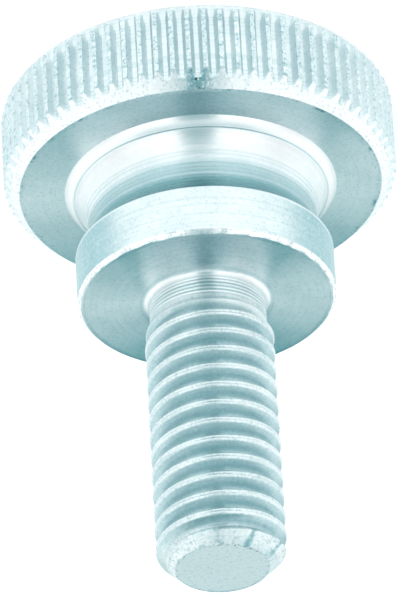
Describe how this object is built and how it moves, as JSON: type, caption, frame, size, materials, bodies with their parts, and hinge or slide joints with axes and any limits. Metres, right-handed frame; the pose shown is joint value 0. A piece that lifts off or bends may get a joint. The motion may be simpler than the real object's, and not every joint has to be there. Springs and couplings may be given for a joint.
{
  "type": "thumb screw",
  "caption": "Knurled thumb screw with a thick disc head, a coved neck, a round collar and a short threaded shank with a chamfered tip.",
  "frame": {"origin": "centre of the flat top of the head, which the screw stands on", "axes": "+Z along the screw axis, from the head to the thread's tip"},
  "size_m": [0.0152, 0.0152, 0.0206],
  "materials": {
    "zinc_steel": "bright zinc plate over turned steel, satin, with fine lathe rings"
  },
  "bodies": {
    "root": {"thumb_screw": "zinc_steel"}
  },
  "joints": []
}
